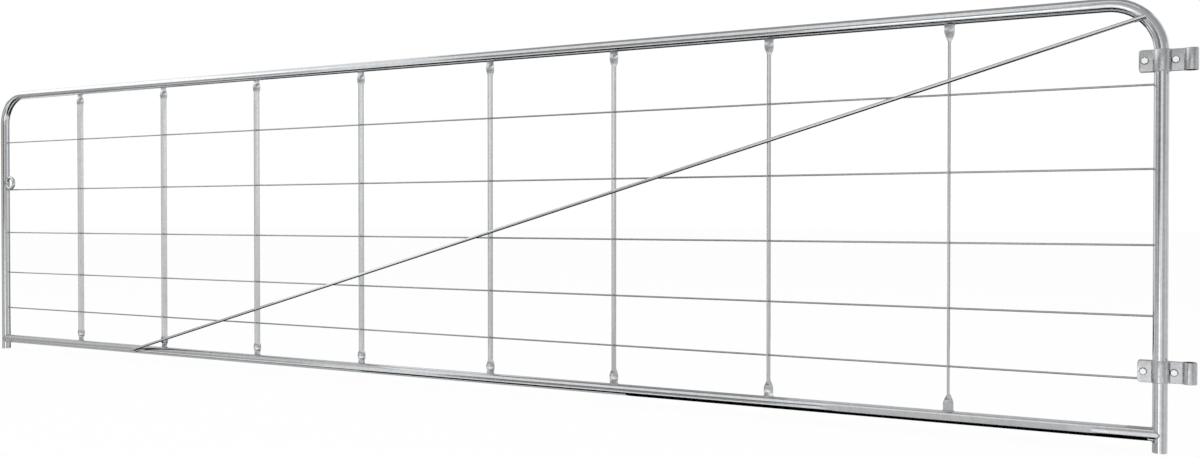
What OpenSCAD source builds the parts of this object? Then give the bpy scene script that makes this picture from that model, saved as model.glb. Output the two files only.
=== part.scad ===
// Field gate: bent tube frame, flat stays, wire infill, diagonal brace and folded hinge straps.
// Millimetres. +Z is up and the gate runs along -X from its hinge axis. -Y is the braced front.
// The origin is on the hinge axis, at mid-height of the lower hinge eye.

/* [Frame] */
// Overall length of the gate over its two stiles
gate_length = 4270; // [2400:10:4900]
// Outside diameter of the frame tube
tube_od = 31.8; // [26:0.1:42]
// Wall thickness of the frame tube
tube_wall = 2; // [1.6:0.1:3.2]
// Bend radius of the two top corners, to the tube's centre line
bend_r = 116; // [80:1:120]
// Length of the open stile legs below the centre of the bottom rail
leg_length = 41; // [25:1:120]

/* [Rows] */
// Bottom rail to the lowest wire, centre to centre
row_1 = 127; // [60:1:300]
// Lowest wire to the second wire
row_2 = 145; // [60:1:300]
// Second wire to the third wire
row_3 = 163; // [60:1:300]
// Third wire to the fourth wire
row_4 = 175; // [60:1:300]
// Fourth wire to the highest wire
row_5 = 193; // [100:1:300]
// Highest wire to the top rail
row_6 = 190; // [170:1:300]

/* [Wires] */
// Diameter of the infill wires
wire_d = 5; // [3:0.1:6]
// Radial clearance of a wire in the holes that carry it
wire_clear = 0.25; // [0.1:0.05:0.5]
// Length of wire that ends inside the bore of a stile
wire_tail = 6; // [2:0.5:10]

/* [Stays] */
// Width of the flat bar that the stays are cut from
stay_width = 25; // [16:1:30]
// Thickness of that flat bar
stay_thick = 3; // [2:0.5:6]
// Untwisted length at each end of a stay
stay_end = 10; // [8:1:30]
// Length over which each end of a stay makes its quarter turn
stay_turn = 32; // [15:1:40]
// How far the fifth stay stands from its even place, towards the hinges
stay_shift = 41; // [0:1:60]

/* [Diagonal brace] */
// Diameter of the brace rod
brace_d = 10; // [6:0.5:16]
// Latch stile to the foot of the brace, along the bottom rail
brace_foot = 795; // [300:5:1500]
// Angle round the hinge-side bend at which the head of the brace lands
brace_head_angle = 44; // [20:1:80]

/* [Latch ring] */
// Outside diameter of the ring for the latch chain
ring_od = 56; // [40:1:70]
// Diameter of the rod that the ring is made of
ring_rod = 12; // [6:0.5:14]
// How far the ring's plane stands in front of the gate's middle plane
ring_front = 7.5; // [7:0.5:12]
// Height of the ring's centre over the fourth wire
ring_over_wire = 27; // [25:0.5:80]

/* [Hinge straps] */
// Height of the strip that a strap is folded from
strap_height = 50; // [30:1:60]
// Thickness of that strip
strap_t = 5; // [3:0.5:6]
// Diameter of the gate pin that a hinge eye takes
pin_d = 20; // [12:0.5:24]
// Radial clearance between the pin and the eye
pin_clear = 0.25; // [0.1:0.05:0.5]
// Radial clearance between a strap and the hinge stile
stile_clear = 0.15; // [0.05:0.01:0.3]
// Hinge stile to the hinge axis
eye_offset = 60; // [55:0.5:75]
// Hinge stile to the end of a strap's tail
tail_length = 47; // [42:0.5:60]
// Hinge stile to the tail bolt
tail_bolt = 35; // [32:0.5:45]
// Gap between the two leaves at the tail, where a wire can run through
tail_gap = 12; // [9:0.5:16]
// Gap between the two leaves at the neck, between stile and eye
neck_gap = 1; // [0.5:0.1:3]
// Inside radius of the bends on either side of the stile and at the eye
fold_r = 2; // [1:0.5:4]
// Corner radius at the end of the tail
tail_corner = 6; // [2:0.5:10]
// Bottom rail to the middle of the lower strap
lower_strap_height = 145; // [80:1:200]
// How far the upper strap reaches past the start of the bend, as far as its clearance on the stile lets it
upper_strap_lap = 5; // [-15:0.5:5]

/* [Strap bolts] */
// Diameter of the strap bolts
bolt_d = 8; // [6:1:10]
// Width of the bolt heads and nuts across their flats
hex_af = 13; // [10:1:16]
// Height of the bolt heads
head_h = 5.3; // [4:0.1:7]
// Height of the nuts
nut_h = 6.5; // [5:0.1:9]
// Radial clearance of the bolts in the holes of the straps
bolt_clear = 0.5; // [0.2:0.1:1]
// Radial clearance of the bolts in their nuts
thread_clear = 0.05; // [0.02:0.01:0.1]
// Gap between the head of the neck bolt and the fold beside it
head_gap = 0.2; // [0.05:0.05:2]
// Length of bolt that shows past its nut
bolt_proud = 3; // [1:0.5:6]

/* [Fits] */
// Gap left at welded seats
weld_gap = 0.1; // [0.05:0.05:0.3]

/* [Hidden] */
$fn = 72;

galvanised = [0.78, 0.79, 0.80];
bright_zinc = [0.90, 0.91, 0.92];
cut = 1;

tube_r = tube_od / 2;
bore_r = tube_r - tube_wall;
stile_x = -eye_offset;
stile_span = gate_length - tube_od;
latch_x = stile_x - stile_span;

rows = [row_1, row_2, row_3, row_4, row_5, row_6];
function row_z(i) = i == 0 ? -lower_strap_height : row_z(i - 1) + rows[i - 1];
bottom_z = row_z(0);
top_z = row_z(len(rows));
leg_z = bottom_z - leg_length;
bend_z = top_z - bend_r;

stay_count = 8;
shifted_stay = 5;
turn_slices = 18;
turn_segments = 8;
stay_pitch = stile_span / (stay_count + 1);
stay_foot_z = bottom_z + tube_r + weld_gap;
stay_length = top_z - bottom_z - tube_od - 2 * weld_gap;
function stay_x(i) = latch_x + i * stay_pitch + (i == shifted_stay ? stay_shift : 0);

brace_y = -(tube_r + weld_gap + brace_d / 2);
brace_foot_at = [latch_x + brace_foot, brace_y, bottom_z];
brace_head_at = [
    stile_x - bend_r * (1 - cos(brace_head_angle)),
    brace_y,
    top_z - bend_r * (1 - sin(brace_head_angle))
];
brace_run = brace_head_at - brace_foot_at;

ring_mid_r = (ring_od - ring_rod) / 2;
ring_seat = tube_r + weld_gap + ring_rod / 2;
ring_x = latch_x + sqrt(ring_seat * ring_seat - ring_front * ring_front) + ring_mid_r;
ring_row = 4;
ring_z = row_z(ring_row) + ring_over_wire;

// The bend leaves the line of the stile slowly, by lap * lap / (2 * bend_r) at a distance lap from its start
most_lap = 0.9 * sqrt(2 * bend_r * stile_clear);
upper_strap_z = bend_z + min(upper_strap_lap, most_lap) - strap_height / 2;
lower_strap_z = 0;

// Middle line of one strap leaf, seen from above, with the hinge stile at the origin
eye_r = pin_d / 2 + pin_clear;
wrap_mid_r = tube_r + stile_clear + strap_t / 2;
fold_mid_r = fold_r + strap_t / 2;
eye_mid_r = eye_r + strap_t / 2;
tail_y = (tail_gap + strap_t) / 2;
neck_y = (neck_gap + strap_t) / 2;
tail_fold = [-leg(wrap_mid_r + fold_mid_r, tail_y + fold_mid_r), -tail_y - fold_mid_r];
neck_fold = [leg(wrap_mid_r + fold_mid_r, neck_y + fold_mid_r), -neck_y - fold_mid_r];
eye_fold = [eye_offset - leg(eye_mid_r + fold_mid_r, neck_y + fold_mid_r), -neck_y - fold_mid_r];
neck_bolt = neck_fold[0] + hex_af / 2 + head_gap;

// Other short side of a right triangle
function leg(hypotenuse, side) = sqrt(hypotenuse * hypotenuse - side * side);

// Solid rod of radius r along the frame's bent line; the leg ends are longer by extra
module frame_line(r, extra = 0) {
    translate([stile_x - bend_r, 0, bend_z])
        frame_half(r, extra);
    translate([latch_x + bend_r, 0, bend_z])
        mirror([1, 0, 0])
            frame_half(r, extra);
}

// Hinge half of that rod, seen from the middle of its bend: leg, bend and more than half of the rail,
// so that the two halves overlap
module frame_half(r, extra) {
    leg_run = bend_z - leg_z + extra;
    translate([bend_r, 0, -leg_run])
        cylinder(r = r, h = leg_run);
    rotate([90, 0, 0])
        rotate_extrude(angle = 90)
            translate([bend_r, 0])
                circle(r = r);
    translate([0, 0, bend_r])
        rotate([0, -90, 0])
            cylinder(r = r, h = 0.6 * (stile_span - 2 * bend_r));
}

// Row of wire holes along X, from x over a length
module wire_holes(x, length) {
    for (i = [1 : len(rows) - 1])
        translate([x, 0, row_z(i)])
            rotate([0, 90, 0])
                cylinder(d = wire_d + 2 * wire_clear, h = length);
}

module frame_tube() {
    color(galvanised)
        difference() {
            frame_line(tube_r);
            frame_line(bore_r, cut);
            wire_holes(latch_x, tube_od);
            wire_holes(stile_x - tube_od, tube_od);
        }
}

// Tube between the stiles, its ends coped to fit them
module bottom_rail() {
    color(galvanised)
        difference() {
            translate([latch_x, 0, bottom_z])
                rotate([0, 90, 0])
                    cylinder(r = tube_r, h = stile_span);
            translate([latch_x - cut, 0, bottom_z])
                rotate([0, 90, 0])
                    cylinder(r = bore_r, h = stile_span + 2 * cut);
            for (x = [latch_x, stile_x])
                translate([x, 0, bottom_z - tube_od])
                    cylinder(r = tube_r + weld_gap, h = 2 * tube_od);
        }
}

// Flat bar with a quarter turn at each end, so that its ends lie in the gate's plane
module stay(i) {
    color(galvanised)
        difference() {
            translate([stay_x(i), 0, stay_foot_z]) {
                stay_half();
                translate([0, 0, stay_length])
                    mirror([0, 0, 1])
                        stay_half();
            }
            wire_holes(stay_x(i) - stay_thick, 2 * stay_thick);
        }
}

// Lower half of a stay: end, quarter turn and half of the straight run
module stay_half() {
    turned_z = stay_end + stay_turn;
    linear_extrude(stay_end)
        square([stay_width, stay_thick], center = true);
    translate([0, 0, stay_end])
        linear_extrude(stay_turn, twist = -90, slices = turn_slices, segments = turn_segments)
            square([stay_width, stay_thick], center = true);
    translate([0, 0, turned_z])
        linear_extrude(stay_length / 2 - turned_z)
            square([stay_thick, stay_width], center = true);
}

module wire(i) {
    end_x = bore_r - wire_tail;
    color(galvanised)
        translate([latch_x + end_x, 0, row_z(i)])
            rotate([0, 90, 0])
                cylinder(d = wire_d, h = stile_span - 2 * end_x);
}

// Straight rod on the front of the frame, from the bottom rail to the hinge-side bend
module diagonal_brace() {
    color(galvanised)
        translate(brace_foot_at)
            rotate([0, 90 - atan2(brace_run[2], brace_run[0]), 0])
                cylinder(d = brace_d, h = norm(brace_run));
}

module latch_ring() {
    color(galvanised)
        translate([ring_x, -ring_front, ring_z])
            rotate([90, 0, 0])
                rotate_extrude()
                    translate([ring_mid_r, 0])
                        circle(d = ring_rod);
}

// Ring of strap thickness with middle radius r about a centre, kept where an outline covers it.
// It moves by whole millimetres and then by the rest, which keeps more digits of its place.
module ring_piece(centre, r, outline) {
    whole = [round(centre[0]), round(centre[1])];
    intersection() {
        translate(whole)
            translate(centre - whole)
                difference() {
                    circle(r = r + strap_t / 2);
                    circle(r = r - strap_t / 2);
                }
        polygon(outline);
    }
}

// Flat of strap thickness at a depth y, between two places along X
module flat_piece(from, to, y) {
    front = -y - strap_t / 2;
    back = -y + strap_t / 2;
    polygon([[from, front], [to, front], [to, back], [from, back]]);
}

// Front leaf of a strap seen from above: tail, wrap round the stile, neck and half of the eye.
// Neighbouring pieces end on a line between the same two points, so that they meet exactly.
module strap_leaf() {
    stile = [0, 0];
    eye = [eye_offset, 0];
    far = 3 * eye_offset;
    flat_piece(-tail_length, tail_fold[0], tail_y);
    ring_piece(tail_fold, fold_mid_r, [tail_fold, stile, [tail_fold[0], 0]]);
    ring_piece(stile, wrap_mid_r, [stile, tail_fold, [tail_fold[0], -far], [neck_fold[0], -far], neck_fold]);
    ring_piece(neck_fold, fold_mid_r, [neck_fold, stile, [neck_fold[0], 0]]);
    flat_piece(neck_fold[0], eye_fold[0], neck_y);
    ring_piece(eye_fold, fold_mid_r, [eye_fold, eye, [eye_fold[0], 0]]);
    ring_piece(eye, eye_mid_r, [eye, eye_fold, [eye_fold[0], -far], [far, -far], [far, 0]]);
}

// Strip folded round the eye, with both leaves wrapped on the stile and drilled for two bolts
module hinge_strap(z) {
    color(galvanised)
        translate([stile_x, 0, z])
            difference() {
                translate([0, 0, -strap_height / 2])
                    linear_extrude(strap_height) {
                        strap_leaf();
                        mirror([0, 1])
                            strap_leaf();
                    }
                for (x = [-tail_bolt, neck_bolt])
                    translate([x, tube_od, 0])
                        rotate([90, 0, 0])
                            cylinder(d = bolt_d + 2 * bolt_clear, h = 2 * tube_od);
                for (side = [0, 1])
                    mirror([0, 0, side])
                        tail_corner_cut();
            }
}

// What the rounded corner takes off the top of the tail
module tail_corner_cut() {
    corner = [-tail_length + tail_corner, tube_od, strap_height / 2 - tail_corner];
    translate(corner)
        rotate([90, 0, 0])
            difference() {
                translate([-tail_corner - cut, 0, 0])
                    cube([tail_corner + cut, tail_corner + cut, 2 * tube_od]);
                translate([0, 0, -cut])
                    cylinder(r = tail_corner, h = 2 * tube_od + 2 * cut);
            }
}

// Hexagonal prism with two flats square to X, along Z
module hex_prism(height) {
    rotate([0, 0, 30])
        cylinder(d = hex_af / cos(30), h = height, $fn = 6);
}

// Half of the depth that a bolt at x clamps
function half_grip(x) = x < 0 ? tail_y + strap_t / 2 : neck_y + strap_t / 2;

// The tail bolt and the neck bolt of the strap at z, heads at the front
module strap_bolts(z) {
    color(bright_zinc)
        for (x = [-tail_bolt, neck_bolt])
            translate([stile_x + x, -half_grip(x), z])
                rotate([-90, 0, 0])
                    translate([0, 0, -head_h])
                        union() {
                            hex_prism(head_h);
                            cylinder(d = bolt_d, h = head_h + 2 * half_grip(x) + nut_h + bolt_proud);
                        }
}

// The nuts of the strap at z, behind its back leaf
module strap_nuts(z) {
    color(bright_zinc)
        for (x = [-tail_bolt, neck_bolt])
            translate([stile_x + x, half_grip(x), z])
                rotate([-90, 0, 0])
                    difference() {
                        hex_prism(nut_h);
                        translate([0, 0, -cut])
                            cylinder(d = bolt_d + 2 * thread_clear, h = nut_h + 2 * cut);
                    }
}

frame_tube();
bottom_rail();
stay(1);  // stay_1
stay(2);  // stay_2
stay(3);  // stay_3
stay(4);  // stay_4
stay(5);  // stay_5
stay(6);  // stay_6
stay(7);  // stay_7
stay(8);  // stay_8
wire(1);  // wire_1
wire(2);  // wire_2
wire(3);  // wire_3
wire(4);  // wire_4
wire(5);  // wire_5
diagonal_brace();
latch_ring();
hinge_strap(upper_strap_z);  // upper_hinge_strap
strap_bolts(upper_strap_z);  // upper_strap_bolts
strap_nuts(upper_strap_z);  // upper_strap_nuts
hinge_strap(lower_strap_z);  // lower_hinge_strap
strap_bolts(lower_strap_z);  // lower_strap_bolts
strap_nuts(lower_strap_z);  // lower_strap_nuts
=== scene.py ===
"""Field gate: finishes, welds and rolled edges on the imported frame, in metres.

The gate runs along -X from its hinge axis, +Z is up and -Y is the braced front.
"""

from __future__ import annotations

import logging
import math
from dataclasses import dataclass
from enum import Enum

import bpy
import numpy as np
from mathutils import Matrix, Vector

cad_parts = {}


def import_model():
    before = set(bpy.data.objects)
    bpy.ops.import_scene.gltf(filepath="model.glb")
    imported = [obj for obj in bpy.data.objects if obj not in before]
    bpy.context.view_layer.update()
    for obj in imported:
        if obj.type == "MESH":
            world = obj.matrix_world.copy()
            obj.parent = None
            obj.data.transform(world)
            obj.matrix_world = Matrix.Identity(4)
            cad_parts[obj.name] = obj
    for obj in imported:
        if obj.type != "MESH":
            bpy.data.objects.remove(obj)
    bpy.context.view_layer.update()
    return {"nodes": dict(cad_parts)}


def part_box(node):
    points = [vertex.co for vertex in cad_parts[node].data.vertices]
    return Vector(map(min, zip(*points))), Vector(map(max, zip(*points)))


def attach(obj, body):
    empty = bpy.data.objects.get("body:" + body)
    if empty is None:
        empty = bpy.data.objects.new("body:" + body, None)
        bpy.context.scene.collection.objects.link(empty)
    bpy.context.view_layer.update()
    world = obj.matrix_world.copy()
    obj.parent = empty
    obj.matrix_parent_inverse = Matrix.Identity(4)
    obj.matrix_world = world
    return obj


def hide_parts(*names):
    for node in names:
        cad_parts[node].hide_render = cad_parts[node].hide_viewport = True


LOG = logging.getLogger("field_gate")
MM = 0.001
RIGHT_ANGLE = math.pi / 2
IMAGE_WIDTH_PX = 1200
SENSOR_MM = 36.0
WIRE_COUNT = 5
STAY_COUNT = 8


class Body(Enum):
    """Rigid bodies of the gate."""

    LEAF = "gate_leaf"
    UPPER_STRAP = "upper_strap"
    LOWER_STRAP = "lower_strap"


class Slot(Enum):
    """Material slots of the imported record."""

    GALVANISED = "galvanised_steel"
    ZINC = "bright_zinc"


class Axis(Enum):
    """Axes of the row frame."""

    X = 0
    Y = 1
    Z = 2


def linear(hex_colour: str) -> tuple[float, float, float, float]:
    """Turns an sRGB hex colour into linear RGBA by the sRGB curve.

    Args:
        hex_colour: Six hex digits with a leading hash.

    Returns:
        Linear red, green and blue, and an alpha of 1.
    """
    channels = [int(hex_colour[i:i + 2], 16) / 255 for i in (1, 3, 5)]
    values = [c / 12.92 if c <= 0.04045 else ((c + 0.055) / 1.055) ** 2.4 for c in channels]
    return (*values, 1.0)


def bare_material(name: str) -> tuple[bpy.types.Material, bpy.types.NodeTree]:
    """Makes a material with an empty node tree.

    Args:
        name: Name of the material.

    Returns:
        The material and its tree.
    """
    material = bpy.data.materials.new(name)
    material.use_nodes = True
    material.node_tree.nodes.clear()
    return material, material.node_tree


def add_node(tree: bpy.types.NodeTree, kind: str, inputs: dict[str | int, object] | None = None,
             **settings: str) -> bpy.types.Node:
    """Adds a node, sets its properties and fills or links its inputs.

    Args:
        tree: Node tree that gets the node.
        kind: Blender's name of the node type.
        inputs: Socket name or number to a value, or to an output socket to link.
        **settings: Properties of the node itself.

    Returns:
        The new node.
    """
    node = tree.nodes.new(kind)
    for key, value in settings.items():
        setattr(node, key, value)
    for key, value in (inputs or {}).items():
        if isinstance(value, bpy.types.NodeSocket):
            tree.links.new(value, node.inputs[key])
        else:
            node.inputs[key].default_value = value
    return node


@dataclass(frozen=True)
class ZincSurface:
    """Zinc on steel: a metal mirror broken up by crystals, grain and uneven dipping or drawing.

    The crystals of a dipped coat reflect at slightly different strengths, so their edges show as
    faint facets. The grain of real zinc is under half a millimetre, which is too fine to show from
    the camera, so it is drawn at about 1 to 3 mm. Round bolt heads and on a bore's wall the colour
    can also get painted shade, nearly black.
    """

    name: str
    light: str
    dark: str
    roughness: float
    roughness_spread: float
    crystal_mm: float
    grain_mm: float
    bump_mm: float
    metallic: float = 1.0
    grain_detail: float = 3.0
    grain_roughness: float = 0.6
    bump_strength: float = 0.35
    # Painted shade: a nearly black colour painted round bolt heads and on a bore's wall, its share
    # and reaches.
    painted_shade_colour: str = "#1C1D1E"
    painted_shade_share: float = 0.9
    head_shade_reach_mm: tuple[float, float] = (7.2, 9.8)
    bore_shade_reach_mm: tuple[float, float] = (0.3, 1.1)

    def build(self, bolts: tuple[tuple[float, float], ...] = (),
              bore_r: float = 0.0) -> bpy.types.Material:
        """Makes the material.

        Args:
            bolts: X and Z of bolt heads; a ring of painted shade round each shows as a dark line.
            bore_r: Radius of a bore on the Z axis whose wall gets painted shade, or 0 for none.

        Returns:
            A node material on Object coordinates, in metres.
        """
        material, tree = bare_material(self.name)
        place = add_node(tree, "ShaderNodeTexCoord").outputs["Object"]
        crystals = add_node(
            tree, "ShaderNodeTexVoronoi",
            {"Vector": place, "Scale": 1 / (self.crystal_mm * MM)}, feature="F1")
        grain = add_node(
            tree, "ShaderNodeTexNoise",
            {"Vector": place, "Scale": 1 / (self.grain_mm * MM),
             "Detail": self.grain_detail, "Roughness": self.grain_roughness})
        facet = add_node(tree, "ShaderNodeSeparateColor", {"Color": crystals.outputs["Color"]})
        mixed = add_node(
            tree, "ShaderNodeMath",
            {0: facet.outputs["Red"], 1: grain.outputs["Fac"]}, operation="MULTIPLY")
        colour = add_node(
            tree, "ShaderNodeMix",
            {"Factor": mixed.outputs["Value"], "A": linear(self.light), "B": linear(self.dark)},
            data_type="RGBA")
        rough = add_node(
            tree, "ShaderNodeMapRange",
            {"Value": facet.outputs["Green"],
             "To Min": self.roughness - self.roughness_spread,
             "To Max": self.roughness + self.roughness_spread})
        bump = add_node(
            tree, "ShaderNodeBump",
            {"Height": grain.outputs["Fac"], "Strength": self.bump_strength,
             "Distance": self.bump_mm * MM})
        shade = colour.outputs["Result"]
        # Painted shade in a ring round each bolt head, and on the wall of the eye's bore.
        for x, z in bolts:
            reach = tuple(r * MM for r in self.head_shade_reach_mm)
            shade = self.painted_shade(tree, place, shade, Axis.Y, (x, 0.0, z), reach)
        if bore_r:
            reach = tuple(bore_r + r * MM for r in self.bore_shade_reach_mm)
            shade = self.painted_shade(tree, place, shade, Axis.Z, (0.0, 0.0, 0.0), reach)
        shader = add_node(
            tree, "ShaderNodeBsdfPrincipled",
            {"Base Color": shade, "Roughness": rough.outputs["Result"],
             "Normal": bump.outputs["Normal"], "Metallic": self.metallic})
        add_node(tree, "ShaderNodeOutputMaterial", {"Surface": shader.outputs["BSDF"]})
        return material

    def painted_shade(self, tree: bpy.types.NodeTree, place: bpy.types.NodeSocket,
                shade: bpy.types.NodeSocket, axis: Axis, centre: tuple[float, float, float],
                reach: tuple[float, ...]) -> bpy.types.NodeSocket:
        """Paints shade into a colour close to a line along an axis, so that it is nearly black
        there.

        Args:
            tree: Node tree of the material.
            place: Object coordinates.
            shade: Colour so far.
            axis: Direction of the line.
            centre: Point on the line, 0 along the axis.
            reach: Distances from the line at which the painted shade begins to fade and has gone.

        Returns:
            The darkened colour.
        """
        across = tuple(float(other is not axis) for other in Axis)
        flat = add_node(
            tree, "ShaderNodeVectorMath", {0: place, 1: across}, operation="MULTIPLY")
        away = add_node(
            tree, "ShaderNodeVectorMath",
            {0: flat.outputs["Vector"], 1: centre}, operation="DISTANCE")
        near = add_node(
            tree, "ShaderNodeMapRange",
            {"Value": away.outputs["Value"], "From Min": reach[0], "From Max": reach[1],
             "To Min": self.painted_shade_share, "To Max": 0.0})
        dark = add_node(
            tree, "ShaderNodeMix",
            {"Factor": near.outputs["Result"], "A": shade, "B": linear(self.painted_shade_colour)},
            data_type="RGBA")
        return dark.outputs["Result"]


# Tube dipped in zinc: a smooth bright skin that draws its surroundings out into long lines, with
# faint facets a fingertip wide.
DIPPED_TUBE = ZincSurface(
    "hot_dip_galvanised_tube", light="#D8DADC", dark="#C2C5C8", roughness=0.12,
    roughness_spread=0.03, crystal_mm=9.0, grain_mm=3.0, bump_mm=0.03)
# Rolled flat bar dipped in zinc: the mill's skin under the coat gives an even, soft grey sheen.
DIPPED_FLAT = ZincSurface(
    "hot_dip_galvanised_flat_bar", light="#D0D2D4", dark="#C0C3C6", roughness=0.24,
    roughness_spread=0.03, crystal_mm=9.0, grain_mm=3.0, bump_mm=0.02)
# Drawn rod dipped in zinc: bright on top with one sharp dark line below.
DIPPED_ROD = ZincSurface(
    "hot_dip_galvanised_round_bar", light="#D8DADC", dark="#C6C9CC", roughness=0.12,
    roughness_spread=0.02, crystal_mm=6.0, grain_mm=2.0, bump_mm=0.01)
# Folded strap dipped in zinc: a thicker, mottled coat, dull enough to lose sharp reflections, with
# painted shade, nearly black, round the bolt heads and inside the eye.
DIPPED_STRAP = ZincSurface(
    "hot_dip_galvanised_strap", light="#CDCFD1", dark="#B0B3B6", roughness=0.26,
    roughness_spread=0.05, crystal_mm=6.0, grain_mm=1.6, bump_mm=0.05)
# Drawn galvanised wire: a thin, wiped coat that looks a plain mid grey.
DRAWN_WIRE = ZincSurface(
    "galvanised_drawn_wire", light="#B9BBBD", dark="#9EA1A3", roughness=0.26,
    roughness_spread=0.04, crystal_mm=4.0, grain_mm=1.0, bump_mm=0.03)
# Bright zinc plate: pale and milky, so that the bolt heads show as white dots on the straps.
BRIGHT_ZINC = ZincSurface(
    "bright_zinc_plate", light="#FAFBFB", dark="#EEF0F1", roughness=0.30,
    roughness_spread=0.04, crystal_mm=1.5, grain_mm=0.8, bump_mm=0.02, metallic=0.25)
# Zinc over a weld: rough and spotted, a little darker than the tube beside it.
WELD_ZINC = ZincSurface(
    "zinc_over_weld_bead", light="#BDBFC1", dark="#8E9193", roughness=0.36,
    roughness_spread=0.08, crystal_mm=3.0, grain_mm=1.2, bump_mm=0.15)


def round_angles(steps: int) -> np.ndarray:
    """Angles of evenly spaced points round a circle."""
    return np.linspace(0, 2 * math.pi, steps, endpoint=False)


def unit(vectors: np.ndarray) -> np.ndarray:
    """Rows of an array scaled to a length of 1."""
    return vectors / np.linalg.norm(vectors, axis=1, keepdims=True)


def bearing(centre: np.ndarray, point: np.ndarray) -> float:
    """Direction of a point from a centre, in a plane."""
    return math.atan2(point[1] - centre[1], point[0] - centre[0])


def rounded_section(width: float, height: float, edge: float,
                    steps: int = 4) -> tuple[np.ndarray, np.ndarray]:
    """Corners and corner arcs of a rectangle with rounded edges, counter-clockwise.

    Each point is (corner sign * (half side - edge)) + edge * (cos a, sin a).

    Args:
        width: Full size along the first axis.
        height: Full size along the second axis.
        edge: Radius of the edges.
        steps: Steps in each quarter arc.

    Returns:
        Corner centres and arc offsets, each of shape (4 * (steps + 1), 2).
    """
    quarter = np.linspace(0, RIGHT_ANGLE, steps + 1)
    angles = (np.arange(4)[:, None] * RIGHT_ANGLE + quarter).ravel()
    signs = np.array([[1, 1], [-1, 1], [-1, -1], [1, -1]]).repeat(steps + 1, axis=0)
    centres = signs * np.array([width / 2 - edge, height / 2 - edge])
    return centres, edge * np.stack([np.cos(angles), np.sin(angles)], axis=1)


class Surface:
    """Grids of points gathered into one mesh."""

    BEAD_SIDES = 12
    BEAD_SWELL = 0.13
    BEAD_TIP = 0.02
    # Lies along no seam of the gate, so a bead's section is never flat.
    BEAD_HELPER = (0.31, 0.62, 0.72)

    def __init__(self) -> None:
        """Starts with no points."""
        self.points: list[np.ndarray] = []
        self.faces: list[tuple[int, ...]] = []
        self.count = 0

    def add_grid(self, grid: np.ndarray, closed_rows: bool = False) -> None:
        """Adds a grid whose columns run round a closed section.

        Args:
            grid: Points, shape (rows, columns, 3), counter-clockwise about the way the rows run.
            closed_rows: Joins the last row to the first; else each end gets a cap.
        """
        rows, columns = grid.shape[:2]
        number = self.count + np.arange(rows * columns).reshape(rows, columns)
        after = np.roll(number, -1, axis=1)
        if closed_rows:
            low, low_after = number, after
            high, high_after = np.roll(number, -1, axis=0), np.roll(after, -1, axis=0)
        else:
            low, low_after = number[:-1], after[:-1]
            high, high_after = number[1:], after[1:]
        quads = np.stack([low, low_after, high_after, high], axis=-1).reshape(-1, 4)
        self.faces += [tuple(quad) for quad in quads.tolist()]
        if not closed_rows:
            self.faces.append(tuple(number[0, ::-1].tolist()))
            self.faces.append(tuple(number[-1].tolist()))
        self.points.append(grid.reshape(-1, 3))
        self.count += rows * columns

    def add_bead(self, path: np.ndarray, radius: float, closed: bool, ripple: float) -> None:
        """Adds a weld bead: a tube along a path whose radius swells once for each ripple.

        radius(s) = radius * (1 + swell * sin(2 pi s / ripple)), and an open bead tapers to its
        ends as a half round.

        Args:
            path: Middle line of the seam, shape (n, 3).
            radius: Radius of the bead.
            closed: Whether the path runs back into its start.
            ripple: Length of one ripple along the path.
        """
        step = np.diff(path, axis=0, append=path[:1] if closed else path[-1:])
        length = np.concatenate([[0.0], np.cumsum(np.linalg.norm(step, axis=1))])[:len(path)]
        if closed:
            tangent = unit(np.roll(path, -1, 0) - np.roll(path, 1, 0))
        else:
            tangent = unit(np.gradient(path, axis=0))
        across = unit(np.cross(tangent, np.array(self.BEAD_HELPER)))
        over = np.cross(tangent, across)
        swell = radius * (1 + self.BEAD_SWELL * np.sin(2 * math.pi * length / ripple))
        if not closed:
            from_end = np.minimum(length, length[-1] - length)
            swell *= np.sqrt(1 - (1 - np.clip(from_end / radius, self.BEAD_TIP, 1)) ** 2)
        angle = round_angles(self.BEAD_SIDES)[None, :, None]
        ring = np.cos(angle) * across[:, None] + np.sin(angle) * over[:, None]
        self.add_grid(path[:, None] + swell[:, None, None] * ring, closed_rows=closed)

    def piece(self, name: str, material: bpy.types.Material, body: Body, slot: Slot,
              sharp_deg: float = 40.0) -> bpy.types.Object:
        """Makes one finished piece of all the grids and lets it ride on a body.

        Args:
            name: Name of the piece.
            material: Finish of the piece.
            body: Body that carries it.
            slot: The record's material slot; not used.
            sharp_deg: Edges that turn more than this stay sharp.

        Returns:
            The new object, at the origin.
        """
        mesh = bpy.data.meshes.new(name)
        mesh.from_pydata(np.concatenate(self.points).tolist(), [], self.faces)
        mesh.polygons.foreach_set("use_smooth", np.ones(len(mesh.polygons), bool))
        mesh.set_sharp_from_angle(angle=math.radians(sharp_deg))
        mesh.materials.append(material)
        mesh.validate()
        piece = bpy.data.objects.new(name, mesh)
        bpy.context.scene.collection.objects.link(piece)
        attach(piece, body.value)
        LOG.info("%s: %d faces on %s", name, len(mesh.polygons), body.value)
        return piece


@dataclass(frozen=True)
class GateSizes:
    """Places of the gate's main lines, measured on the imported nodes."""

    tube_r: float
    latch_x: float
    stile_x: float
    top_z: float
    bottom_z: float
    wire_r: float
    wire_z: tuple[float, ...]
    stay_x: tuple[float, ...]

    @classmethod
    def measured(cls) -> GateSizes:
        """Reads the sizes from the boxes of the CAD nodes.

        Returns:
            The sizes.
        """
        low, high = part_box("frame_tube")
        rail_low, rail_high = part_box("bottom_rail")
        radius = (high.y - low.y) / 2
        wires = [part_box(f"wire_{i}") for i in range(1, WIRE_COUNT + 1)]
        stays = [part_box(f"stay_{i}") for i in range(1, STAY_COUNT + 1)]
        return cls(
            tube_r=radius,
            latch_x=low.x + radius,
            stile_x=high.x - radius,
            top_z=high.z - radius,
            bottom_z=(rail_low.z + rail_high.z) / 2,
            wire_r=(wires[0][1].z - wires[0][0].z) / 2,
            wire_z=tuple((a.z + b.z) / 2 for a, b in wires),
            stay_x=tuple((a.x + b.x) / 2 for a, b in stays),
        )


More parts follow.
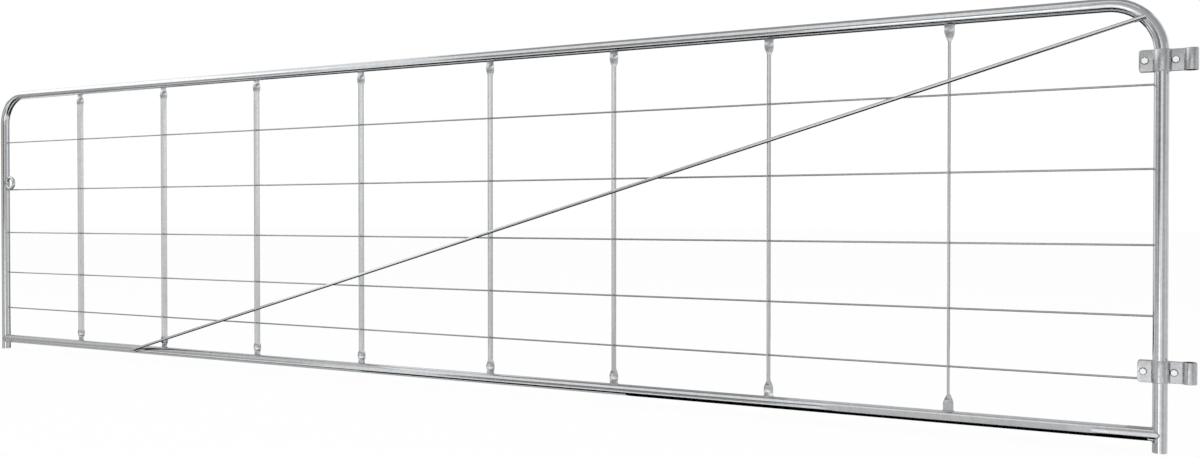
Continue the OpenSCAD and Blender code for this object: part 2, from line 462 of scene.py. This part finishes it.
@dataclass(frozen=True)
class FrameWelds:
    """Weld beads on the tube frame: rail ends, brace ends, ring and wire ends.

    The brace's shares are of the rod's radius, and the ring's of its depth.
    """

    gate: GateSizes
    rail_bead: float = 1.6 * MM
    rail_steps: int = 120
    wire_bead: float = 0.9 * MM
    wire_steps: int = 36
    brace_bead: float = 2.2 * MM
    brace_seam: float = 26 * MM
    brace_steps: int = 40
    brace_seat_share: float = 0.8
    brace_side_share: float = 0.75
    ring_bead: float = 2.4 * MM
    ring_seam: float = 18 * MM
    ring_steps: int = 30
    ring_front_share: float = 0.15
    ring_back_share: float = 0.1
    ring_proud: float = 0.6 * MM
    ripple: float = 3.2 * MM

    def round_seam(self, stile_x: float, side: int, radius: float, z: float,
                   steps: int) -> np.ndarray:
        """Seam of a round bar on a stile: x = stile +- sqrt(R^2 - y^2) over the bar's circle.

        Args:
            stile_x: Centre of the stile.
            side: 1 where the bar lies on +X of the stile, -1 where it lies on -X.
            radius: Radius of the bar.
            z: Height of the bar.
            steps: Points round the seam.

        Returns:
            Closed path, shape (n, 3).
        """
        angle = round_angles(steps)
        y = radius * np.cos(angle)
        x = stile_x + side * np.sqrt(np.maximum(self.gate.tube_r ** 2 - y ** 2, 0))
        return np.stack([x, y, z + radius * np.sin(angle)], axis=1)

    def brace_seams(self) -> list[np.ndarray]:
        """Seams above and below the rod at its two ends, on the front of the tubes.

        Returns:
            Four open paths of shape (n, 3).
        """
        low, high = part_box("diagonal_brace")
        rod_r = (high.y - low.y) / 2
        middle_y = (low.y + high.y) / 2
        slope = math.atan2(high.z - low.z - 2 * rod_r, high.x - low.x - 2 * rod_r)
        along = np.array([math.cos(slope), 0, math.sin(slope)])
        aside = np.array([-along[2], 0, along[0]])
        foot = np.array([low.x, middle_y, low.z]) + rod_r * np.abs(aside)
        head = np.array([high.x, middle_y, high.z]) - rod_r * np.abs(aside)
        seat = np.array([0, rod_r * self.brace_seat_share, 0])
        run = np.linspace(0, self.brace_seam, self.brace_steps)[:, None] * along
        paths = []
        for side in (-1, 1):
            offset = seat + side * self.brace_side_share * rod_r * aside
            paths.append(foot + offset + run)
            paths.append(head + offset - run)
        return paths

    def ring_seams(self) -> list[np.ndarray]:
        """Upright seams in front of and behind the place where the ring meets the stile.

        Returns:
            Two open paths of shape (n, 3).
        """
        low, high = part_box("latch_ring")
        depth = high.y - low.y
        half = self.ring_seam / 2
        z = np.linspace(-half, half, self.ring_steps) + (low.z + high.z) / 2
        tube_r2 = self.gate.tube_r ** 2
        paths = []
        for y in (low.y + self.ring_front_share * depth, high.y - self.ring_back_share * depth):
            x = self.gate.latch_x + math.sqrt(tube_r2 - min(y * y, tube_r2)) + self.ring_proud
            paths.append(np.stack([np.full_like(z, x), np.full_like(z, y), z], axis=1))
        return paths

    def build(self, material: bpy.types.Material) -> None:
        """Makes the weld pieces.

        Args:
            material: Finish of the beads.
        """
        gate = self.gate
        rail, wires, brace, ring = Surface(), Surface(), Surface(), Surface()
        for x, side in ((gate.latch_x, 1), (gate.stile_x, -1)):
            seam = self.round_seam(x, side, gate.tube_r, gate.bottom_z, self.rail_steps)
            rail.add_bead(seam, self.rail_bead, True, self.ripple)
            for z in gate.wire_z:
                seam = self.round_seam(x, side, gate.wire_r, z, self.wire_steps)
                wires.add_bead(seam, self.wire_bead, True, self.ripple)
        for seam in self.brace_seams():
            brace.add_bead(seam, self.brace_bead, False, self.ripple)
        for seam in self.ring_seams():
            ring.add_bead(seam, self.ring_bead, False, self.ripple)
        rail.piece("bottom_rail_welds", material, Body.LEAF, Slot.GALVANISED)
        wires.piece("wire_end_welds", material, Body.LEAF, Slot.GALVANISED)
        brace.piece("brace_welds", material, Body.LEAF, Slot.GALVANISED)
        ring.piece("latch_ring_weld", material, Body.LEAF, Slot.GALVANISED)


@dataclass(frozen=True)
class Stays:
    """Flat bars with rolled edges and a quarter turn at each end, and the welds that hold them."""

    gate: GateSizes
    thick: float = 3 * MM
    edge: float = 0.9 * MM
    end: float = 10 * MM
    end_rows: int = 3
    turn: float = 32 * MM
    turn_rows: int = 40
    middle_rows: int = 12
    bead: float = 1.7 * MM
    ripple: float = 3.0 * MM
    seam_arc_steps: int = 6
    seam_fill: int = 8

    def twist(self, from_end: np.ndarray) -> np.ndarray:
        """Turn of the section at a distance from the nearest end, in radians.

        It is 0 over the end, then rises linearly to a quarter turn over the length of the turn.

        Args:
            from_end: Distances from the nearest end.

        Returns:
            Angles of the section's width from the X axis.
        """
        return RIGHT_ANGLE * np.clip((from_end - self.end) / self.turn, 0, 1)

    def bar(self, x: float, width: float, low_z: float, high_z: float) -> np.ndarray:
        """Grid of one stay: the rounded section carried up the bar and turned by twist().

        Args:
            x: Place of the stay.
            width: Width of the flat bar.
            low_z: Foot of the stay.
            high_z: Head of the stay.

        Returns:
            Points, shape (rows, columns, 3).
        """
        length = high_z - low_z
        turned = self.end + self.turn
        foot = np.concatenate([
            np.linspace(0, self.end, self.end_rows)[:-1],
            np.linspace(self.end, turned, self.turn_rows)])
        middle = np.linspace(turned, length - turned, self.middle_rows)[1:-1]
        run = np.concatenate([foot, middle, (length - foot)[::-1]])
        angle = self.twist(np.minimum(run, length - run))[:, None]
        centres, arcs = rounded_section(width, self.thick, self.edge)
        wide, deep = (centres + arcs).T
        across = wide * np.cos(angle) - deep * np.sin(angle)
        depth = wide * np.sin(angle) + deep * np.cos(angle)
        height = np.broadcast_to((low_z + run)[:, None], across.shape)
        return np.stack([x + across, depth, height], axis=-1)

    def seam(self, x: float, width: float, rail_z: float, up: int) -> np.ndarray:
        """Seam round the end of a stay: its rectangle carried onto the rail's round wall.

        Args:
            x: Place of the stay.
            width: Width of the flat bar.
            rail_z: Middle of the rail.
            up: 1 for the bottom rail's top, -1 for the top rail's underside.

        Returns:
            Closed path, shape (n, 3).
        """
        centres, arcs = rounded_section(width, self.thick, self.edge, self.seam_arc_steps)
        corners = centres + arcs
        count = len(corners)
        ring = np.vstack([corners, corners[:1]])
        fine = np.linspace(0, count, self.seam_fill * count, endpoint=False)
        px = np.interp(fine, np.arange(count + 1), ring[:, 0])
        py = np.interp(fine, np.arange(count + 1), ring[:, 1])
        z = rail_z + up * np.sqrt(self.gate.tube_r ** 2 - py ** 2)
        return np.stack([x + px, py, z], axis=1)

    def build(self, material: bpy.types.Material, weld: bpy.types.Material) -> None:
        """Makes the stays and their welds.

        Args:
            material: Finish of the bars.
            weld: Finish of the beads.
        """
        gate = self.gate
        beads = Surface()
        for number, x in enumerate(gate.stay_x, start=1):
            node = f"stay_{number}"
            low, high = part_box(node)
            width = high.y - low.y
            bar = Surface()
            bar.add_grid(self.bar(x, width, low.z, high.z))
            piece = bar.piece(f"{node}_bar", material, Body.LEAF, Slot.GALVANISED)
            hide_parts(node)
            for rail_z, up in ((gate.bottom_z, 1), (gate.top_z, -1)):
                beads.add_bead(self.seam(x, width, rail_z, up), self.bead, True, self.ripple)
        beads.piece("stay_welds", weld, Body.LEAF, Slot.GALVANISED)


@dataclass(frozen=True)
class StrapBolt:
    """Hexagon bolt along +Y with its head at the front and its nut behind.

    The face's share is of the flats, the thread's of its pitch and the tip's of the thread's
    depth. The thread has thread_rows rings to a pitch.
    """

    x: float
    z: float
    head_front: float
    nut_back: float
    tip: float
    head_h: float = 5.3 * MM
    nut_h: float = 6.5 * MM
    flats: float = 13 * MM
    sides: int = 96
    face_share: float = 0.475
    chamfer_slope: float = math.tan(math.radians(60))
    chamfer_rows_mm: tuple[float, ...] = (0.0, 0.1, 0.25, 0.45, 0.7, 0.95)
    shank: float = 8 * MM
    pitch: float = 1.25 * MM
    thread_share: float = 0.5
    thread_rows: int = 6
    thread_sides: int = 36
    tip_taper: float = 1.0 * MM
    tip_share: float = 0.25
    nut_clear: float = 0.05 * MM

    @classmethod
    def pair(cls, prefix: str, z: float, step: float) -> list[StrapBolt]:
        """Reads the places of a strap's two bolts from its CAD nodes.

        Args:
            prefix: Which strap, upper or lower.
            z: Middle of the strap.
            step: How much nearer to the middle the neck's faces lie than the tail's.

        Returns:
            The tail bolt and the neck bolt.
        """
        low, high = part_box(f"{prefix}_strap_bolts")
        nut_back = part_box(f"{prefix}_strap_nuts")[1].y
        half = cls.flats / 2
        proud = high.y - nut_back
        neck_back = nut_back - step
        return [
            cls(low.x + half, z, low.y, nut_back, high.y),
            cls(high.x - half, z, low.y + step, neck_back, neck_back + proud),
        ]

    def hexagon(self, angle: np.ndarray) -> np.ndarray:
        """Radius of the hexagon: (flats / 2) / cos(angle from the middle of a flat).

        Args:
            angle: Directions from the bolt's axis.

        Returns:
            Radii in those directions.
        """
        half_side = math.pi / 6
        turned = np.mod(angle + half_side, 2 * half_side) - half_side
        return self.flats / 2 / np.cos(turned)

    def lathe(self, radius: np.ndarray, y: np.ndarray) -> np.ndarray:
        """Grid of rings about the bolt's axis.

        Args:
            radius: Radii, shape (rows, sides).
            y: Depths, shape (rows,).

        Returns:
            Points, shape (rows, sides, 3).
        """
        angle = round_angles(radius.shape[1])
        depth = np.broadcast_to(y[:, None], radius.shape)
        x = self.x + radius * np.cos(angle)
        return np.stack([x, depth, self.z - radius * np.sin(angle)], axis=-1)

    def chamfered(self, height: float, both: bool) -> tuple[np.ndarray, np.ndarray]:
        """Rings of a hexagon cut by a 30 degree cone at its front, and at its back if both is set.

        The radius is the lesser of the hexagon's and the cone's, which is a share of the flats
        plus tan 60 * distance from the face.

        Args:
            height: Height of the hexagon.
            both: Whether the back is cut too.

        Returns:
            Distances from the front face, shape (rows,), and radii, shape (rows, sides).
        """
        near = np.array(self.chamfer_rows_mm) * MM
        run = np.concatenate([near, [height / 2], (height - near)[::-1]])
        face = np.minimum(run, height - run) if both else run
        cone = self.face_share * self.flats + self.chamfer_slope * face
        return run, np.minimum(self.hexagon(round_angles(self.sides))[None, :], cone[:, None])

    def add_bolt(self, surface: Surface) -> None:
        """Adds the head and the threaded shank.

        The thread's radius is shank / 2 - depth * (1 - |2 saw - 1|), where saw is the fraction of
        y / pitch - angle / 2 pi, and it is limited towards the tip.

        Args:
            surface: Mesh that gets them.
        """
        run, radius = self.chamfered(self.head_h, False)
        surface.add_grid(self.lathe(radius, self.head_front + run))
        rows = np.arange(self.head_front + self.head_h, self.tip, self.pitch / self.thread_rows)
        turn = round_angles(self.thread_sides) / (2 * math.pi)
        saw = np.mod(rows[:, None] / self.pitch - turn[None, :], 1.0)
        depth = self.thread_share * self.pitch
        thread = self.shank / 2 - depth * (1 - np.abs(2 * saw - 1))
        taper = np.clip((self.tip - rows) / self.tip_taper, self.tip_share, 1)[:, None]
        thread = np.minimum(thread, self.shank / 2 - depth * (1 - taper))
        surface.add_grid(self.lathe(thread, rows))

    def add_nut(self, surface: Surface) -> None:
        """Adds the nut: the chamfered hexagon outside and the bore inside, joined into one ring.

        Args:
            surface: Mesh that gets it.
        """
        run, radius = self.chamfered(self.nut_h, True)
        bore = np.full((2, self.sides), self.shank / 2 + self.nut_clear)
        depth = np.concatenate([run, [self.nut_h, 0.0]])
        rings = np.concatenate([radius, bore])
        surface.add_grid(
            self.lathe(rings, self.nut_back - self.nut_h + depth), closed_rows=True)


@dataclass(frozen=True)
class HingeStrap:
    """Strip folded round the eye, clamped on the stile by two bolts."""

    gate: GateSizes
    prefix: str
    body: Body
    thick: float = 5 * MM
    edge: float = 1.0 * MM
    eye_r: float = 10.25 * MM
    stile_clear: float = 0.15 * MM
    fold_r: float = 2 * MM
    tail_length: float = 47 * MM
    tail_rows: int = 5
    tail_gap: float = 12 * MM
    neck_gap: float = 1 * MM
    tail_corner: float = 6 * MM
    corner_rows: int = 14
    arc_step: float = math.radians(3)
    arc_least_rows: int = 6
    bolt_sharp_deg: float = 25.0

    def arc(self, centre: np.ndarray, radius: float, start: float, stop: float) -> np.ndarray:
        """Points along an arc, about one for each arc step.

        Args:
            centre: Middle of the arc.
            radius: Its radius.
            start: First angle.
            stop: Last angle.

        Returns:
            Points, shape (n, 2).
        """
        rows = max(self.arc_least_rows, int(abs(stop - start) / self.arc_step))
        angle = np.linspace(start, stop, rows)
        return centre + radius * np.stack([np.cos(angle), np.sin(angle)], axis=1)

    def leaf_path(self) -> np.ndarray:
        """Middle line of the front leaf seen from above, from the tail to the far side of the eye.

        It is a straight tail, a fold, the wrap round the stile, a fold, a straight neck, a fold
        and half the eye. Neighbouring arcs touch, so the centres of a fold and of the bend that it
        joins lie the sum of their radii apart.

        Returns:
            Points, shape (n, 2), from the middle of the stile.
        """
        fold = self.fold_r + self.thick / 2
        wrap = self.gate.tube_r + self.stile_clear + self.thick / 2
        eye = self.eye_r + self.thick / 2
        tail_y = -(self.tail_gap + self.thick) / 2
        neck_y = -(self.neck_gap + self.thick) / 2
        stile_at = np.zeros(2)
        eye_at = np.array([-self.gate.stile_x, 0.0])

        def fold_x(bend: float, leaf_y: float) -> float:
            """Distance along X from a bend's centre to the centre of its fold."""
            return math.sqrt((bend + fold) ** 2 - (fold - leaf_y) ** 2)

        tail_fold = np.array([-fold_x(wrap, tail_y), tail_y - fold])
        neck_fold = np.array([fold_x(wrap, neck_y), neck_y - fold])
        eye_fold = eye_at + [-fold_x(eye, neck_y), neck_y - fold]
        round_off = 1 - np.cos(np.linspace(0, RIGHT_ANGLE, self.corner_rows))
        corner = -self.tail_length + self.tail_corner * round_off
        flat = np.linspace(corner[-1], tail_fold[0], self.tail_rows)[1:-1]
        tail = np.concatenate([corner, flat])
        wrap_start, wrap_stop = bearing(stile_at, tail_fold), bearing(stile_at, neck_fold)
        return np.concatenate([
            np.stack([tail, np.full_like(tail, tail_y)], axis=1),
            self.arc(tail_fold, fold, RIGHT_ANGLE, bearing(tail_fold, stile_at)),
            self.arc(stile_at, wrap, wrap_start, wrap_stop)[1:],
            self.arc(neck_fold, fold, bearing(neck_fold, stile_at), RIGHT_ANGLE)[1:],
            self.arc(eye_fold, fold, RIGHT_ANGLE, bearing(eye_fold, eye_at)),
            self.arc(eye_at, eye, bearing(eye_at, eye_fold), 0.0)[1:],
        ])

    def strip(self, low_z: float, high_z: float) -> np.ndarray:
        """Grid of the whole strip: the rounded section carried along both leaves.

        At a distance s from the tail's end the half height is less by c - sqrt(c^2 - (c - s)^2),
        which rounds the corner with its radius c.

        Args:
            low_z: Lower edge of the strip.
            high_z: Upper edge of the strip.

        Returns:
            Points, shape (rows, columns, 3).
        """
        front = self.leaf_path()
        path = np.concatenate([front, (front * [1, -1])[-2::-1]])
        tangent = unit(np.gradient(path, axis=0))
        normal = np.stack([-tangent[:, 1], tangent[:, 0]], axis=1)
        corner = self.tail_corner
        from_end = np.clip(path[:, 0] + self.tail_length, 0, corner)
        drop = corner - np.sqrt(np.maximum(corner ** 2 - (corner - from_end) ** 2, 0))
        half = (high_z - low_z) / 2 - drop
        centres, arcs = rounded_section(self.thick, high_z - low_z, self.edge)
        across = centres[:, 0] + arcs[:, 0]
        flat = path[:, None] + across[None, :, None] * normal[:, None]
        edges = np.sign(centres[:, 1])[None, :] * (half[:, None] - self.edge)
        height = edges + arcs[None, :, 1] + (low_z + high_z) / 2
        return np.concatenate([flat + [self.gate.stile_x, 0.0], height[..., None]], axis=-1)

    def build(self, zinc: bpy.types.Material) -> None:
        """Makes the strap, its bolts and its nuts.

        Args:
            zinc: Finish of the bolts and nuts.
        """
        prefix, body = self.prefix, self.body
        node = f"{prefix}_hinge_strap"
        low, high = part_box(node)
        step = (self.tail_gap - self.neck_gap) / 2
        pair = StrapBolt.pair(prefix, (low.z + high.z) / 2, step)
        # The strap's finish gets painted shade round both bolt heads and on the wall of the eye's
        # bore.
        finish = DIPPED_STRAP.build(tuple((bolt.x, bolt.z) for bolt in pair), self.eye_r)
        strip, bolts, nuts = Surface(), Surface(), Surface()
        strip.add_grid(self.strip(low.z, high.z))
        strip_piece = strip.piece(f"{prefix}_strap_strip", finish, body, Slot.GALVANISED)
        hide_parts(node)
        for bolt in pair:
            bolt.add_bolt(bolts)
            bolt.add_nut(nuts)
        sharp = self.bolt_sharp_deg
        bolt_piece = bolts.piece(f"{prefix}_hex_bolts", zinc, body, Slot.ZINC, sharp)
        nut_piece = nuts.piece(f"{prefix}_hex_nuts", zinc, body, Slot.ZINC, sharp)
        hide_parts(f"{prefix}_strap_bolts")
        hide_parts(f"{prefix}_strap_nuts")


@dataclass(frozen=True)
class Board:
    """Flat studio board square to one axis, in metres.

    The sides of an X board run along Y and Z, of a Y board along X and Z, and of a Z board along X
    and Y.
    """

    name: str
    grey: str
    axis: Axis
    at: float
    first: tuple[float, float]
    second: tuple[float, float]
    glow: float = 1.0
    from_below: bool = False
    rise: float = 0.0

    def corners(self) -> np.ndarray:
        """Finds the rectangle first x second on the axis, raised at its far end by rise.

        Returns:
            Four corners, shape (4, 3).
        """
        (a0, a1), (b0, b1) = self.first, self.second
        flat = np.array([[a0, b0], [a1, b0], [a1, b1], [a0, b1]])
        place = self.at + self.rise * np.array([0, 1, 1, 0])
        return np.insert(flat, self.axis.value, place, axis=1)


BOARDS = (
    # Level, close below and above the bottom rail: the black and grey lines along it.
    Board("under_strip", "#030303", Axis.Z, -0.2, (-1.45, -0.085), (-0.035, 0.1)),
    Board("under_strip_middle", "#C4C4C4", Axis.Z, -0.2, (-2.45, -1.45), (-0.015, 0.12)),
    Board("under_strip_end", "#C4C4C4", Axis.Z, -0.2, (-4.6, -2.45), (-0.05, 0.12)),
    Board("over_strip", "#D4D4D4", Axis.Z, 0.06, (-7.0, -2.5), (-0.45, 0.3), from_below=True),
    Board("over_strip_end", "#D4D4D4", Axis.Z, 0.06, (-1.02, -0.14), (-0.03, 0.35),
          from_below=True),
    # Far below and above the gate: the dark lines along the rails, the brace and the wires.
    Board("front_pit", "#030303", Axis.Z, -5.0, (-9.0, 4.0), (-5.5, -0.8)),
    Board("front_pit_end", "#808080", Axis.Z, -5.0, (-24.0, -9.0), (-5.5, -1.0)),
    Board("back_pit", "#3C3C3C", Axis.Z, -5.0, (-12.0, 4.0), (1.6, 8.0)),
    Board("ceiling", "#A8A8A8", Axis.Z, 6.0, (-6.0, 4.0), (-1.9, 8.0)),
    # Upright on both sides of the bottom rail: an even light grey along it.
    Board("front_strip", "#D4D4D4", Axis.Y, -0.25, (-0.92, -0.27), (-0.45, 0.12)),
    Board("front_strip_end", "#E0E0E0", Axis.Y, -0.25, (-0.27, -0.22), (-0.45, 0.12)),
    Board("back_strip", "#D4D4D4", Axis.Y, 0.25, (-1.5, -0.14), (-0.35, 0.0)),
    # Far in front of the gate: grey on every piece, and one bright board that lights the top rail,
    # the hinge stile and the straps.
    Board("front_wall", "#828282", Axis.Y, -6.0, (-6.5, -2.4), (0.3, 2.35)),
    Board("front_wall_near", "#9A9A9A", Axis.Y, -6.0, (-2.4, -0.9), (0.3, 2.35)),
    Board("front_wall_low", "#A0A0A0", Axis.Y, -6.0, (-6.5, -3.0), (-2.5, 0.3)),
    Board("front_light", "#FFFFFF", Axis.Y, -6.0, (-2.6, -0.6), (-2.5, -0.1), glow=1.7),
    Board("front_top_end", "#BEBEBE", Axis.Y, -6.0, (-0.9, 4.0), (1.8, 9.0)),
    # Far behind the gate: the grey of the stays, and of the top rail and the stiles.
    Board("back_skirt", "#2A2A2A", Axis.Y, 8.0, (-24.0, 0.3), (-5.0, -0.9)),
    Board("eye_skirt", "#060606", Axis.Y, 7.9, (-0.8, 0.3), (-0.9, 1.7)),
    Board("back_wall", "#ACACAC", Axis.Y, 8.0, (-9.0, 0.3), (-0.9, 6.0)),
    Board("back_wall_end", "#D2D2D2", Axis.Y, 8.0, (0.3, 3.3), (-2.0, 3.0)),
    Board("back_wall_pale", "#FFFFFF", Axis.Y, 8.0, (3.3, 6.2), (0.3, 3.0), glow=1.35),
    Board("back_wall_pale_low", "#F0F0F0", Axis.Y, 8.0, (3.3, 6.2), (-2.0, 0.3)),
    Board("back_wall_far", "#DCDCDC", Axis.Y, 8.0, (6.2, 9.0), (-2.0, 3.0)),
    # Past the latch end: grey on both stiles and the bottom rail, and a bright board that lights
    # the top rail and the brace.
    Board("left_panel", "#FFFFFF", Axis.X, -12.0, (-9.0, 2.0), (2.2, 9.0), glow=1.5),
    Board("left_screen", "#B8B8B8", Axis.X, -9.0, (-7.0, -0.5), (-2.0, 2.0)),
    Board("left_end", "#B0B0B0", Axis.X, -9.0, (-0.5, 0.8), (0.0, 2.2)),
    # Beside the leg of the hinge stile, which alone reflects it.
    Board("leg_card", "#B4B4B4", Axis.X, -0.085, (-0.05, 0.1), (-0.2, -0.165)),
    # Past the hinge end: the grey of the hinge stile and the straps, and of the latch stile.
    Board("right_screen", "#B2B2B2", Axis.X, 4.0, (-9.0, -1.5), (0.6, 2.0)),
    Board("right_screen_low", "#C8C8C8", Axis.X, 4.0, (-9.0, -1.5), (-2.0, 0.6)),
    Board("right_side", "#D6D6D6", Axis.X, 4.0, (-1.0, 2.5), (-2.0, 2.0)),
    Board("right_top", "#B0B0B0", Axis.X, 4.0, (-6.0, 2.0), (2.0, 9.0)),
)


@dataclass(frozen=True)
class SoftBox:
    """Rectangular lamp, tilted about X, in metres, degrees and watts."""

    name: str
    place: tuple[float, float, float]
    tilt_deg: float
    size: tuple[float, float]
    power: float


SOFT_BOXES = (
    SoftBox("front_soft_box", (-1.6, -2.6, 3.4), 38, (5.0, 1.6), 45),
    SoftBox("back_soft_box", (-2.4, 2.4, 3.2), -38, (5.0, 1.4), 25),
)


@dataclass(frozen=True)
class Studio:
    """Camera, soft light, white surroundings and the boards whose reflections line the metal."""

    focal_px: float = 1100.35
    camera_at: tuple[float, float, float] = (0.0059, -2.8252, 0.3558)
    yaw_deg: float = 28.348
    pitch_deg: float = -0.628
    clip: tuple[float, float] = (0.05, 200.0)
    white: str = "#FFFFFF"
    world_light: float = 0.75
    floor_paint: str = "#F4F4F4"
    floor_white_share: float = 0.95
    floor_half: float = 40.0
    floor_gap: float = 2 * MM
    brace_strip_grey: str = "#0A0A0A"
    brace_strip_below: float = 8 * MM
    brace_strip_y: tuple[float, float] = (-0.030, -0.014)

    def camera(self) -> None:
        """Puts the camera at the photograph's viewing point."""
        data = bpy.data.cameras.new("camera")
        data.sensor_fit = "HORIZONTAL"
        data.sensor_width = SENSOR_MM
        data.lens = self.focal_px / IMAGE_WIDTH_PX * SENSOR_MM
        data.clip_start, data.clip_end = self.clip
        camera = bpy.data.objects.new("camera", data)
        camera.location = self.camera_at
        tilt, yaw = math.radians(90 + self.pitch_deg), math.radians(self.yaw_deg)
        camera.rotation_euler = (tilt, 0, yaw)
        bpy.context.scene.collection.objects.link(camera)
        bpy.context.scene.camera = camera

    def seen_directly(self, tree: bpy.types.NodeTree) -> bpy.types.NodeSocket:
        """Is 1 for camera, glossy and transmission rays.

        Args:
            tree: Node tree to add the nodes to.

        Returns:
            Output socket.
        """
        path = add_node(tree, "ShaderNodeLightPath").outputs
        first = add_node(
            tree, "ShaderNodeMath",
            {0: path["Is Camera Ray"], 1: path["Is Glossy Ray"]}, operation="MAXIMUM")
        both = add_node(
            tree, "ShaderNodeMath",
            {0: first.outputs["Value"], 1: path["Is Transmission Ray"]}, operation="MAXIMUM")
        return both.outputs["Value"]

    def world(self) -> None:
        """Makes white surroundings that light the gate a little less than they show."""
        world = bpy.data.worlds.new("studio")
        world.use_nodes = True
        bpy.context.scene.world = world
        tree = world.node_tree
        tree.nodes.clear()
        strength = add_node(
            tree, "ShaderNodeMapRange",
            {"Value": self.seen_directly(tree), "To Min": self.world_light, "To Max": 1.0})
        background = add_node(
            tree, "ShaderNodeBackground",
            {"Color": linear(self.white), "Strength": strength.outputs["Result"]})
        add_node(tree, "ShaderNodeOutputWorld", {"Surface": background.outputs["Background"]})

    def stage_sheet(self, name: str, corners: np.ndarray,
                    material: bpy.types.Material) -> bpy.types.Object:
        """Makes a flat stage sheet.

        Args:
            name: Name of the sheet.
            corners: Four corners, shape (4, 3).
            material: Its finish.

        Returns:
            The new object.
        """
        mesh = bpy.data.meshes.new(name)
        mesh.from_pydata(corners.tolist(), [], [(0, 1, 2, 3)])
        mesh.materials.append(material)
        sheet = bpy.data.objects.new(name, mesh)
        bpy.context.scene.collection.objects.link(sheet)
        return sheet

    def floor(self) -> None:
        """Makes the plain pale floor, white to the eye, which keeps a trace of the shadow."""
        material, tree = bare_material("pale_floor")
        paint = add_node(tree, "ShaderNodeBsdfDiffuse", {"Color": linear(self.floor_paint)})
        glow = add_node(tree, "ShaderNodeEmission", {"Color": linear(self.white), "Strength": 1.0})
        share = add_node(
            tree, "ShaderNodeMath",
            {0: self.seen_directly(tree), 1: self.floor_white_share}, operation="MULTIPLY")
        mixed = add_node(
            tree, "ShaderNodeMixShader",
            {0: share.outputs["Value"], 1: paint.outputs["BSDF"], 2: glow.outputs["Emission"]})
        add_node(tree, "ShaderNodeOutputMaterial", {"Surface": mixed.outputs["Shader"]})
        foot_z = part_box("frame_tube")[0].z - self.floor_gap
        side = (-self.floor_half, self.floor_half)
        sheet = Board("floor", self.floor_paint, Axis.Z, foot_z, side, side)
        self.stage_sheet(sheet.name, sheet.corners(), material).visible_glossy = False

    def board(self, board: Board) -> None:
        """Puts up a studio board that only reflections show.

        Args:
            board: The board.
        """
        material, tree = bare_material(f"{board.name}_paint")
        paint = add_node(
            tree, "ShaderNodeEmission", {"Color": linear(board.grey), "Strength": board.glow})
        surface = paint.outputs["Emission"]
        if board.from_below:
            clear = add_node(tree, "ShaderNodeBsdfTransparent")
            side = add_node(tree, "ShaderNodeNewGeometry")
            one_sided = add_node(
                tree, "ShaderNodeMixShader",
                {0: side.outputs["Backfacing"], 1: clear.outputs["BSDF"], 2: surface})
            surface = one_sided.outputs["Shader"]
        add_node(tree, "ShaderNodeOutputMaterial", {"Surface": surface})
        sheet = self.stage_sheet(board.name, board.corners(), material)
        sheet.visible_camera = False
        sheet.visible_diffuse = False
        sheet.visible_shadow = False
        sheet.visible_transmission = False

    def boards(self) -> None:
        """Puts up every board, and one that follows the brace a little below it."""
        for board in BOARDS:
            self.board(board)
        low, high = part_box("diagonal_brace")
        self.board(Board(
            "brace_strip", self.brace_strip_grey, Axis.Z, low.z - self.brace_strip_below,
            (low.x, high.x), self.brace_strip_y, rise=high.z - low.z))

    def lamps(self) -> None:
        """Hangs two soft boxes, one over the front of the gate and one behind it."""
        for box in SOFT_BOXES:
            data = bpy.data.lights.new(box.name, "AREA")
            data.shape = "RECTANGLE"
            data.size, data.size_y = box.size
            data.energy = box.power
            lamp = bpy.data.objects.new(box.name, data)
            lamp.location = box.place
            lamp.rotation_euler = (math.radians(box.tilt_deg), 0, 0)
            lamp.visible_glossy = False
            bpy.context.scene.collection.objects.link(lamp)

    def build(self) -> None:
        """Sets the whole studio."""
        self.camera()
        self.world()
        self.floor()
        self.boards()
        self.lamps()
        bpy.context.scene.view_settings.view_transform = "Standard"


def dress_nodes(nodes: dict[str, bpy.types.Object],
                finishes: dict[str, bpy.types.Material]) -> None:
    """Gives each CAD node its finish.

    Args:
        nodes: CAD nodes by name.
        finishes: Start of a node's name to its material.
    """
    for name, node in nodes.items():
        for start, material in finishes.items():
            if name.startswith(start):
                node.data.materials.clear()
                node.data.materials.append(material)
                LOG.info("%s: %s", name, material.name)


def main() -> None:
    """Dresses the frame, adds the fine pieces and sets the studio."""
    logging.basicConfig(level=logging.INFO)
    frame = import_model()
    gate = GateSizes.measured()
    tube, flat, rod = DIPPED_TUBE.build(), DIPPED_FLAT.build(), DIPPED_ROD.build()
    strap, wire = DIPPED_STRAP.build(), DRAWN_WIRE.build()
    zinc, weld = BRIGHT_ZINC.build(), WELD_ZINC.build()
    dress_nodes(frame["nodes"], {
        "frame_tube": tube, "bottom_rail": tube, "diagonal_brace": rod, "latch_ring": tube,
        "stay_": flat, "wire_": wire, "upper_hinge_strap": strap, "lower_hinge_strap": strap,
        "upper_strap_": zinc, "lower_strap_": zinc,
    })
    FrameWelds(gate).build(weld)
    Stays(gate).build(flat, weld)
    HingeStrap(gate, "upper", Body.UPPER_STRAP).build(zinc)
    HingeStrap(gate, "lower", Body.LOWER_STRAP).build(zinc)
    Studio().build()


if __name__ == "__main__":
    main()
